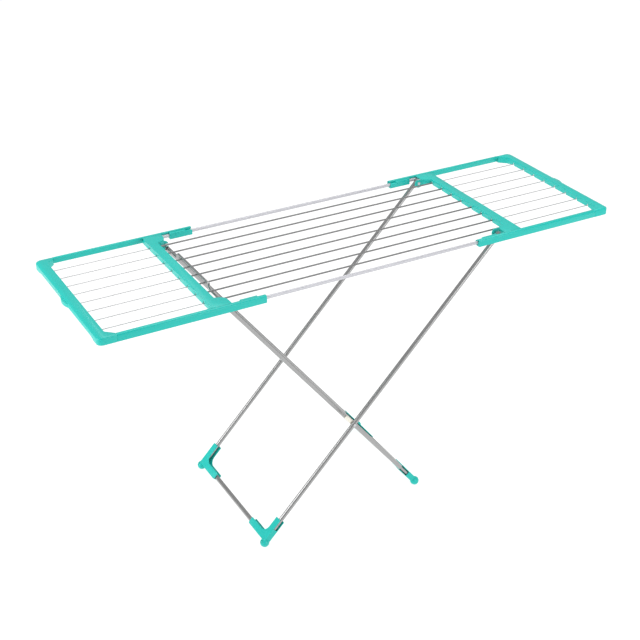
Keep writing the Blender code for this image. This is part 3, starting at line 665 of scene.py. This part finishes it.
class RackRods(bpy.types.Operator):
    """Make the hanging rods, and the wires of both wings"""
    bl_idname = "rack.rods"
    bl_label = "Rods and wires"

    def execute(self, context):
        own = settings("rack_tubes")
        start, end, radius = axis_of("rod_1")
        start.y = end.y = 0.0
        rods = tube(start, end, radius, radius - own.rod_bore, own.rod_sides, own.rim)
        rods = smooth(row(rods, ROD_COUNT, ROD_PITCH, rod_paint()))
        names = [f"rod_{i + 1}" for i in range(ROD_COUNT)]
        piece(rods, "hanging_rods", rod_paint(), "middle_frame", "rod_paint", *names)
        for label, _ in SIDES:
            start, end, radius = axis_of(f"{label}_wire_1")
            start.y = end.y = 0.0
            length = (end - start).length
            taper, tip = own.rim * 2, radius * 0.5
            profile = [(0.0, tip), (taper, radius), (length - taper, radius), (length, tip)]
            wires = turned(profile, start, end, own.rod_sides)
            wires = smooth(row(wires, ROD_COUNT, ROD_PITCH, wire_coating()))
            names = [f"{label}_wire_{i + 1}" for i in range(ROD_COUNT)]
            piece(wires, f"{label}_wing_wires", wire_coating(), f"{label}_wing", "bright_wire", *names)
        return {"FINISHED"}


class RackSideTubes(bpy.types.Operator):
    """Make the two side tubes that the wings slide on"""
    bl_idname = "rack.side_tubes"
    bl_label = "Side tubes"

    def execute(self, context):
        own = settings("rack_tubes")
        for label, _ in ENDS:
            node = f"{label}_side_tube"
            start, end, radius = axis_of(node)
            made = smooth(tube(start, end, radius, own.tube_wall, own.tube_sides, own.rim))
            piece(made, f"{label}_wing_tube", side_paint(), "middle_frame", "pale_paint", node)
        return {"FINISHED"}


# ---- wings

def rail(label, side, place, end):
    """The wing's side: a channel open towards the floor, with a short lip on its inner side."""
    own = settings("rack_mouldings")
    node = f"{label}_{place}_rail"
    low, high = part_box(node)
    out = max(abs(low.y), abs(high.y))
    lip = out - (high.y - low.y)
    top, bottom = high.z, low.z
    start = min(abs(low.x), abs(high.x))
    stop = min(abs(value) for value in span(f"{label}_end_bar", 0)) - CLEARANCE
    wall, round_off = own.rail_wall, own.rail_round
    centre = (out - round_off, top - round_off)
    lip_foot = top - own.rail_lip
    section = [(out, bottom)] + arc(centre, round_off, 0, 90, 10)
    section += [(lip, top), (lip, lip_foot), (lip + wall, lip_foot), (lip + wall, top - wall)]
    section += arc(centre, round_off - wall, 90, 0, 10) + [(out - wall, bottom)]
    made = prism(mirrored(section, end), "X", side * start, side * stop, node)
    soften(made, own.edge)
    piece(made, f"{label}_{place}_rail_moulding", teal_plastic(), f"{label}_wing", "teal_plastic", node)


def bush(label, side, place, end):
    """The block in a rail's inner end that runs on the side tube, with a step under the rail's lip."""
    own = settings("rack_mouldings")
    node = f"{label}_{place}_bush"
    low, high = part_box(node)
    inner_y, outer_y = sorted((abs(low.y), abs(high.y)))
    start, stop = sorted((abs(low.x), abs(high.x)))
    rail_low, rail_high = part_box(f"{label}_{place}_rail")
    lip = max(abs(rail_low.y), abs(rail_high.y)) - (rail_high.y - rail_low.y) - CLEARANCE
    notch = rail_high.z - own.rail_lip - CLEARANCE
    axis, _, tube_radius = axis_of(f"{place}_side_tube")
    section = [(inner_y, low.z), (outer_y, low.z), (outer_y, notch), (lip, notch)]
    section += [(lip, high.z), (inner_y, high.z)]
    made = prism(mirrored(section, end), "X", side * start, side * stop, node)
    step_x = start + own.bush_step
    combine(made, block((side * (start - 0.01), end * (inner_y - 0.01), notch),
                        (side * step_x, end * (lip + 0.01), high.z + 0.01)))
    groove_x = stop - 0.019
    combine(made, block((side * groove_x, end * (inner_y - 0.01), low.z - 0.01),
                        (side * (groove_x + 0.0014), end * (inner_y + 0.0008), high.z + 0.01)))
    bore = cylinder((side * (start - 0.05), axis.y, axis.z), (side * (stop + 0.05), axis.y, axis.z),
                    tube_radius + CLEARANCE, 40)
    combine(made, bore)
    flare = [(0.0, tube_radius + 0.0022), (0.006, tube_radius + 0.0009), (0.009, tube_radius)]
    mouth_start = (side * (start - 0.001), axis.y, axis.z)
    combine(made, turned(flare, mouth_start, (side * (start + 0.02), axis.y, axis.z), 40))
    soften(made, own.edge * 0.8)
    piece(made, f"{label}_{place}_slide_bush", teal_plastic(), f"{label}_wing", "teal_plastic", node)


def stack(levels, name):
    """A closed solid through flat outlines with equally many points, each (height, outline)."""
    mesh = bmesh.new()
    rings = [[mesh.verts.new((a, b, z)) for a, b in outline] for z, outline in levels]
    mesh.faces.new(rings[0])
    mesh.faces.new(rings[-1])
    for lower, upper in zip(rings, rings[1:]):
        for i in range(len(lower)):
            j = (i + 1) % len(lower)
            mesh.faces.new((lower[i], lower[j], upper[j], upper[i]))
    return solid_of(mesh, name)


def end_bar(label, side):
    """The wing's outer bar: a skirted channel with a sloping outer side, round corners and a finger grip."""
    own = settings("rack_mouldings")
    node = f"{label}_end_bar"
    low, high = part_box(node)
    top, bottom = high.z, low.z
    out = high.y
    outer = abs(low.x if side < 0 else high.x) - own.grip_depth
    inner = outer - own.end_bar_width
    rail_end = min(abs(low.x), abs(high.x))
    lip = out - (span(f"{label}_rear_rail", 1)[1] - span(f"{label}_rear_rail", 1)[0])
    wall = own.wall
    corner = own.corner

    def outline(inset, slope=0.0, end_slope=0.0):
        half = [(outer - inset - slope, 0.0)]
        for across, endways in arc((0.0, 0.0), 1.0, 0, 90, 14):
            half.append((outer - corner + (corner - inset - slope) * across,
                         out - corner + (corner - inset - end_slope) * endways))
        lean = inset * 0.4
        start, stop = (rail_end + inset, lip + lean), (inner + inset, out - own.corner_gusset - lean)
        half += [(rail_end + inset, out - inset - end_slope)]
        half += arc_between(start, stop, (rail_end + 0.009 + inset, out - 0.0215), 6)
        return mirrored(half + [(a, -b) for a, b in reversed(half[1:])], side)

    shares = ((0.0, 0.0), (0.05, 0.24), (0.15, 0.42), (0.32, 0.58), (0.62, 0.80), (0.88, 0.95), (1.0, 1.0))
    levels = [(bottom, outline(0.0))]
    levels += [(top - own.drop * (1.0 - rise), outline(0.0, own.slope * share, own.rail_round * share))
               for share, rise in shares]
    solid = stack(levels, node)
    combine(solid, prism(outline(wall), "Z", bottom - 0.03, top - own.drop - wall))
    underside = top - own.skirt
    ramp = out - own.corner_gusset
    scoop = [(-ramp, bottom - 0.01)] + ease_edge(-ramp, own.ramp - ramp, bottom, underside)
    scoop += ease_edge(ramp - own.ramp, ramp, underside, bottom) + [(ramp, bottom - 0.01)]
    combine(solid, prism(scoop, "X", side * (inner - 0.02), side * (outer + 0.02)))
    root = outer - wall
    depth = own.grip_depth + wall
    grip = [(root, -own.grip_length / 2)]
    grip += [(root + depth * math.sin(math.pi * i / 20) ** 0.8, own.grip_length * (i / 20 - 0.5))
             for i in range(1, 20)]
    grip += [(root, own.grip_length / 2)]
    combine(solid, prism(mirrored(grip, side), "Z", underside + 0.0005, top - own.drop - 0.0005), "UNION")
    ribs = row(block((side * (inner + 0.001), -own.rib / 2, bottom + 0.009),
                     (side * (outer - 0.001), own.rib / 2, top - own.drop - 0.001)), ROD_COUNT - 1, ROD_PITCH)
    combine(solid, ribs, "UNION")
    combine(solid, slot_row(side, inner - 0.004, inner + 0.006, own.slot, bottom - 0.03))
    soften(solid, own.edge)
    piece(solid, f"{label}_end_bar_moulding", teal_plastic(), f"{label}_wing", "teal_plastic", node)


def arc_between(start, end, pull, steps):
    """Points on a smooth bend from start to end, drawn towards pull."""
    points = []
    for i in range(steps + 1):
        t = i / steps
        ways = zip(start, pull, end)
        points.append(tuple((1 - t) ** 2 * a + 2 * t * (1 - t) * p + t * t * b for a, p, b in ways))
    return points


def ease_edge(a_start, a_end, b_start, b_end, steps=6):
    """Points that go from one level to another with a soft start and stop."""
    points = []
    for i in range(steps + 1):
        t = i / steps
        points.append((a_start + (a_end - a_start) * t, b_start + (b_end - b_start) * t * t * (3 - 2 * t)))
    return points


class RackWings(bpy.types.Operator):
    """Mould the end bars, rails and slide bushes of both wings"""
    bl_idname = "rack.wings"
    bl_label = "Wing mouldings"

    def execute(self, context):
        for label, side in SIDES:
            end_bar(label, side)
            for place, end in ENDS:
                rail(label, side, place, end)
                bush(label, side, place, end)
        return {"FINISHED"}


# ---- legs

def leg_matrix(node, end):
    """Takes (across the frame's plane, inwards, up the leg), from the foot corner, to the rack's frame."""
    bottom, top, _ = axis_of(node)
    up = (top - bottom).normalized()
    foot = bottom - up * 0.002
    inward = Vector((0.0, -end, 0.0))
    across = inward.cross(up) * -end
    across.normalize()
    matrix = Matrix((across, inward, up)).transposed().to_4x4()
    return Matrix.Translation(foot) @ matrix


def elbow(label, place, end):
    """A hollow L that joins a leg tube to the foot tube, with a round foot on its corner."""
    own = settings("rack_feet")
    node = f"{label}_{place}_elbow"
    matrix = leg_matrix(f"{label}_{place}_leg_tube", end)
    _, _, radius = axis_of(f"{label}_{place}_leg_tube")
    foot_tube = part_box(f"{label}_foot_tube")
    rise = (matrix.inverted() @ ((foot_tube[0] + foot_tube[1]) / 2)).z
    half_gap = radius + CLEARANCE
    half_outer = half_gap + own.wall

    def outline(cut):
        outer = own.outer - (own.wall if cut else 0.0)
        reach = 0.02 if cut else 0.0
        leg_in = own.leg_inner + reach
        cross_in = rise + own.cross_inner + reach
        bend = arc((leg_in + own.arc, cross_in + own.arc), own.arc, 180, 270, 16)
        end_z, far = own.leg_arm + reach, own.cross_arm + reach
        bottom = rise - outer
        if cut:
            head, tail = [(-outer, end_z)], [(far, cross_in), (far, bottom)]
        else:
            small, large = own.small_round, own.large_round
            head = arc((-outer + 0.002, end_z - 0.002), 0.002, 180, 90, 3)
            tail = arc((far - small, cross_in - small), small, 90, 0, 4)
            tail += arc((far - large, bottom + large), large, 0, -90, 5)
        return [(-outer, bottom)] + head + [(leg_in, end_z)] + bend + tail

    made = prism(outline(False), "X", -half_outer, half_outer, node)
    knob = bmesh.new()
    bmesh.ops.create_uvsphere(knob, u_segments=40, v_segments=24, radius=own.knob)
    knob.transform(Matrix.Translation((0.0, -own.knob_offset, -own.knob_offset)))
    combine(made, solid_of(knob, "knob"), "UNION")
    combine(made, prism(outline(True), "X", -half_gap, half_gap))
    combine(made, block((-half_gap, -0.03, own.leg_arm - own.window), (half_gap, 0.0, own.leg_arm + 0.02)))
    ring_at = -own.knob_offset - 0.002
    for face in (-1, 1):
        groove_start = (face * (own.knob - 0.0034), ring_at, ring_at)
        groove_stop = (face * (own.knob + 0.004), ring_at, ring_at)
        combine(made, tube(groove_start, groove_stop, own.ring, 0.0022, 32, 0.0001))
    for at in (0.032, 0.062, 0.092):
        rib = block((-half_outer + 0.001, at, rise - own.outer + 0.0005),
                    (half_outer - 0.001, at + 0.0014, rise - radius - 0.0003))
        combine(made, rib, "UNION")
    made.data.transform(matrix)  # which mirrors the rear elbows
    if matrix.determinant() < 0:
        made.data.flip_normals()
    combine(made, block((-1.0, -1.0, -0.1), (1.0, 1.0, 0.0)))
    soften(made, own.edge)
    piece(made, f"{label}_{place}_foot_elbow", teal_plastic(), f"{label}_legs", "teal_plastic", node)


class RackFeetElbows(bpy.types.Operator):
    """Mould the four foot elbows with their round feet"""
    bl_idname = "rack.elbows"
    bl_label = "Foot elbows"

    def execute(self, context):
        for label, _ in SIDES:
            for place, end in ENDS:
                elbow(label, place, end)
        return {"FINISHED"}


class RackLegTubes(bpy.types.Operator):
    """Make the leg tubes and foot tubes, with their pivot holes"""
    bl_idname = "rack.leg_tubes"
    bl_label = "Leg tubes"

    def execute(self, context):
        own = settings("rack_tubes")
        for label, _ in SIDES:
            pivot = Vector(JOINTS[f"{label}_leg_hinge"]["pos_m"])
            body = f"{label}_legs"
            bar_low, bar_high = span("top_bar", 0)
            hole = PIN_HOLE if label == "right" else (bar_high - bar_low) / 2 + CLEARANCE
            for place, _ in ENDS:
                node = f"{label}_{place}_leg_tube"
                start, stop, radius = axis_of(node)
                made = tube(start, stop, radius, own.tube_wall, own.tube_sides, own.rim)
                near, far = start.y - 0.03, start.y + 0.03
                combine(made, cylinder((pivot.x, near, pivot.z), (pivot.x, far, pivot.z), hole))
                if label == "right":
                    low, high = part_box(f"{place}_crossing_rivet")
                    rivet = (low + high) / 2
                    combine(made, cylinder((rivet.x, near, rivet.z), (rivet.x, far, rivet.z), hole))
                smooth(made)
                piece(made, f"{label}_{place}_leg", leg_paint(), body, "grey_paint", node)
            node = f"{label}_foot_tube"
            start, stop, radius = axis_of(node)
            made = smooth(tube(start, stop, radius, own.tube_wall, own.tube_sides, own.rim))
            piece(made, f"{label}_foot_bar", leg_paint(), body, "grey_paint", node)
        return {"FINISHED"}


class RackTopBar(bpy.types.Operator):
    """Bend the bar that hangs under the outer rods and over the middle ones"""
    bl_idname = "rack.top_bar"
    bl_label = "Top bar"

    def execute(self, context):
        own = settings("rack_tubes")
        low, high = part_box("top_bar")
        radius = (high.x - low.x) / 2
        x = (low.x + high.x) / 2
        z_low, z_high = low.z + radius, high.z - radius
        bend_start, bend_stop = -own.crank - own.bend, -own.crank + own.bend
        route = [(low.y, z_low)] + ease_edge(bend_start, bend_stop, z_low, z_high, 16)
        route += [(-y, z) for y, z in reversed(route)]
        curve = bpy.data.curves.new("top_bar_path", "CURVE")
        curve.dimensions = "3D"
        spline = curve.splines.new("POLY")
        spline.points.add(len(route) - 1)
        for point, (y, z) in zip(spline.points, route):
            point.co = (x, y, z, 1.0)
        thing = place_in_scene("top_bar_path", curve)
        made = smooth(run_tree(thing, sweep_tree(), radius=radius, sides=28, material=leg_paint()), 50.0)
        piece(made, "cranked_top_bar", leg_paint(), "top_bar_slider", "grey_paint", "top_bar")
        for place, end in ENDS:
            node = f"{place}_bar_cap"
            low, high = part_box(node)
            centre = (low + high) / 2
            cap_radius = (high.x - low.x) / 2
            thick = high.y - low.y
            profile = [(0.0, cap_radius - 0.0004), (0.0004, cap_radius), (thick * 0.5, cap_radius),
                       (thick * 0.8, cap_radius * 0.9), (thick, cap_radius * 0.6)]
            start = Vector((centre.x, centre.y - end * thick / 2, centre.z))
            stop = Vector((centre.x, centre.y + end * thick / 2, centre.z))
            cap = smooth(turned(profile, start, stop, 32))
            piece(cap, f"{place}_top_bar_cap", teal_plastic(), "top_bar_slider", "teal_plastic", node)
        return {"FINISHED"}


def domed(start, stop, shank, head, thick, both):
    """A rivet on a line, with a domed head at its end and, if both is set, at its start too."""
    length = (Vector(stop) - Vector(start)).length
    dome = [(thick * math.sin(a), head * math.cos(a)) for a in (0.0, 0.5, 0.9, 1.25)]
    foot = length - thick
    ending = [(foot, shank), (foot, head)] + [(foot + d, r) for d, r in dome[1:]]
    opening = [(0.0, shank)]
    if both:
        opening = [(thick - d, r) for d, r in reversed(dome[1:])] + [(thick, head), (thick, shank)]
    return turned(opening + ending, start, stop, 32)


class RackPins(bpy.types.Operator):
    """Make the pivot pins, the crossing rivets and the crossing spacers"""
    bl_idname = "rack.pins"
    bl_label = "Pins, rivets and spacers"

    def execute(self, context):
        own = settings("rack_tubes")
        kinds = (("leg_pin", "middle_frame", True), ("crossing_rivet", "right_legs", False))
        for place, end in ENDS:
            for stem, body, both in kinds:
                node = f"{place}_{stem}"
                low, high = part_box(node)
                centre = (low + high) / 2
                half = (high.y - low.y) / 2
                head = (high.x - low.x) / 2
                start = (centre.x, centre.y - end * half, centre.z)
                stop = (centre.x, centre.y + end * half, centre.z)
                made = smooth(domed(start, stop, own.shank, head, own.dome, both), 30.0)
                piece(made, f"{place}_{stem}_head", zinc(), body, "zinc", node)
            self.spacer(place, own)
        return {"FINISHED"}

    def spacer(self, place, own):
        """A rounded nylon block that sits on the narrow frame's tube and faces the wide frame's."""
        node = f"{place}_crossing_spacer"
        low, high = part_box(node)
        bottom, top, _ = axis_of(f"left_{place}_leg_tube")
        up = (top - bottom).normalized()
        centre = (low + high) / 2
        half, rounding = own.spacer_half, own.spacer_round
        outline = arc((0.0, half), rounding, 0, 180, 14) + arc((0.0, -half), rounding, 180, 360, 14)
        made = prism(outline, "Y", low.y, high.y, node)
        tilt = math.atan2(up.x, up.z)
        made.data.transform(Matrix.Translation((centre.x, 0.0, centre.z)) @ Matrix.Rotation(tilt, 4, "Y"))
        soften(made, 0.0015, 3)
        piece(made, f"{place}_nylon_spacer", cream_plastic(), "left_legs", "cream_plastic", node)


# ---- stage

class RackStageSet(bpy.types.Operator):
    """Set the pale floor, the soft lights and the camera"""
    bl_idname = "rack.stage"
    bl_label = "Stage"

    def execute(self, context):
        own = settings("rack_stage")
        floor = block((-own.floor / 2, -own.floor / 2, -0.02), (own.floor / 2, own.floor / 2, -0.0002))
        floor.name = "floor"
        material = bpy.data.materials.new("Pale floor")
        material.use_nodes = True
        shader = material.node_tree.nodes["Principled BSDF"]
        white = (1.0, 1.0, 1.0, 1.0)
        fill(shader, {"Base Color": (0.25, 0.25, 0.25, 1.0), "Roughness": 0.9, "Specular IOR Level": 0.1,
                      "Emission Color": white, "Emission Strength": 0.90})
        floor.data.materials.append(material)
        world = bpy.data.worlds.new("Soft daylight")
        world.use_nodes = True
        fill(world.node_tree.nodes["Background"], {"Color": white, "Strength": 0.46})
        context.scene.world = world
        context.scene.view_settings.view_transform = "Standard"
        self.lamp("key", (0.6, 0.8, 4.6), 3.5, 105.0 * own.power)
        self.lamp("left", (-4.0, 0.6, 1.6), 2.5, 85.0 * own.power)
        self.lamp("front", (1.2, -4.2, 1.8), 2.5, 62.0 * own.power)
        self.camera(context, own)
        return {"FINISHED"}

    def lamp(self, name, place, width, power):
        light = bpy.data.lights.new(name, "AREA")
        light.size = width
        light.energy = power
        lamp = place_in_scene(name, light)
        lamp.location = place
        lamp.rotation_mode = "QUATERNION"
        lamp.rotation_quaternion = (Vector((0.0, 0.0, 0.6)) - Vector(place)).to_track_quat("-Z", "Y")

    def camera(self, context, own):
        a, e = own.azimuth, own.elevation
        back = Vector((math.sin(a) * math.cos(e), -math.cos(a) * math.cos(e), math.sin(e)))
        right = (-back).cross(Vector((0.0, 0.0, 1.0))).normalized()
        up = right.cross(-back)
        turned_right = math.cos(own.roll) * right + math.sin(own.roll) * up
        turned_up = -math.sin(own.roll) * right + math.cos(own.roll) * up
        foot_axis = Vector((0.0, 0.0, own.foot_axis))
        data = bpy.data.cameras.new("camera")
        data.lens = own.lens
        data.sensor_width = 36.0
        data.clip_end = 200.0
        camera = place_in_scene("camera", data)
        place = back * own.distance + right * own.slide + up * own.rise + foot_axis
        axes = Matrix((turned_right, turned_up, back)).transposed().to_4x4()
        camera.matrix_world = Matrix.Translation(place) @ axes
        context.scene.camera = camera


OPERATORS = (RackCrossbars, RackRods, RackSideTubes, RackWings, RackFeetElbows, RackLegTubes, RackTopBar,
             RackPins, RackStageSet)
GROUPS = {"rack_mouldings": RackMouldings, "rack_tubes": RackTubes, "rack_feet": RackFeet,
          "rack_finishes": RackFinishes, "rack_stage": RackStage}


class RackPanel(bpy.types.Panel):
    """Lists the rack's settings and the steps that build it"""
    bl_idname = "VIEW3D_PT_drying_rack"
    bl_label = "Drying Rack"
    bl_space_type = "VIEW_3D"
    bl_region_type = "UI"
    bl_category = "Drying Rack"

    def draw(self, context):
        for name, group in GROUPS.items():
            box = self.layout.box()
            for key in group.__annotations__:
                box.prop(getattr(context.scene, name), key)
        for operator in OPERATORS:
            self.layout.operator(operator.bl_idname)


def register():
    for item in (*GROUPS.values(), *OPERATORS, RackPanel):
        bpy.utils.register_class(item)
    for name, group in GROUPS.items():
        setattr(bpy.types.Scene, name, PointerProperty(type=group))


def unregister():
    for name in GROUPS:
        delattr(bpy.types.Scene, name)
    for item in reversed((*GROUPS.values(), *OPERATORS, RackPanel)):
        bpy.utils.unregister_class(item)


def main():
    register()
    for operator in OPERATORS:
        group, name = operator.bl_idname.split(".")
        getattr(getattr(bpy.ops, group), name)()


if __name__ == "__main__":
    main()
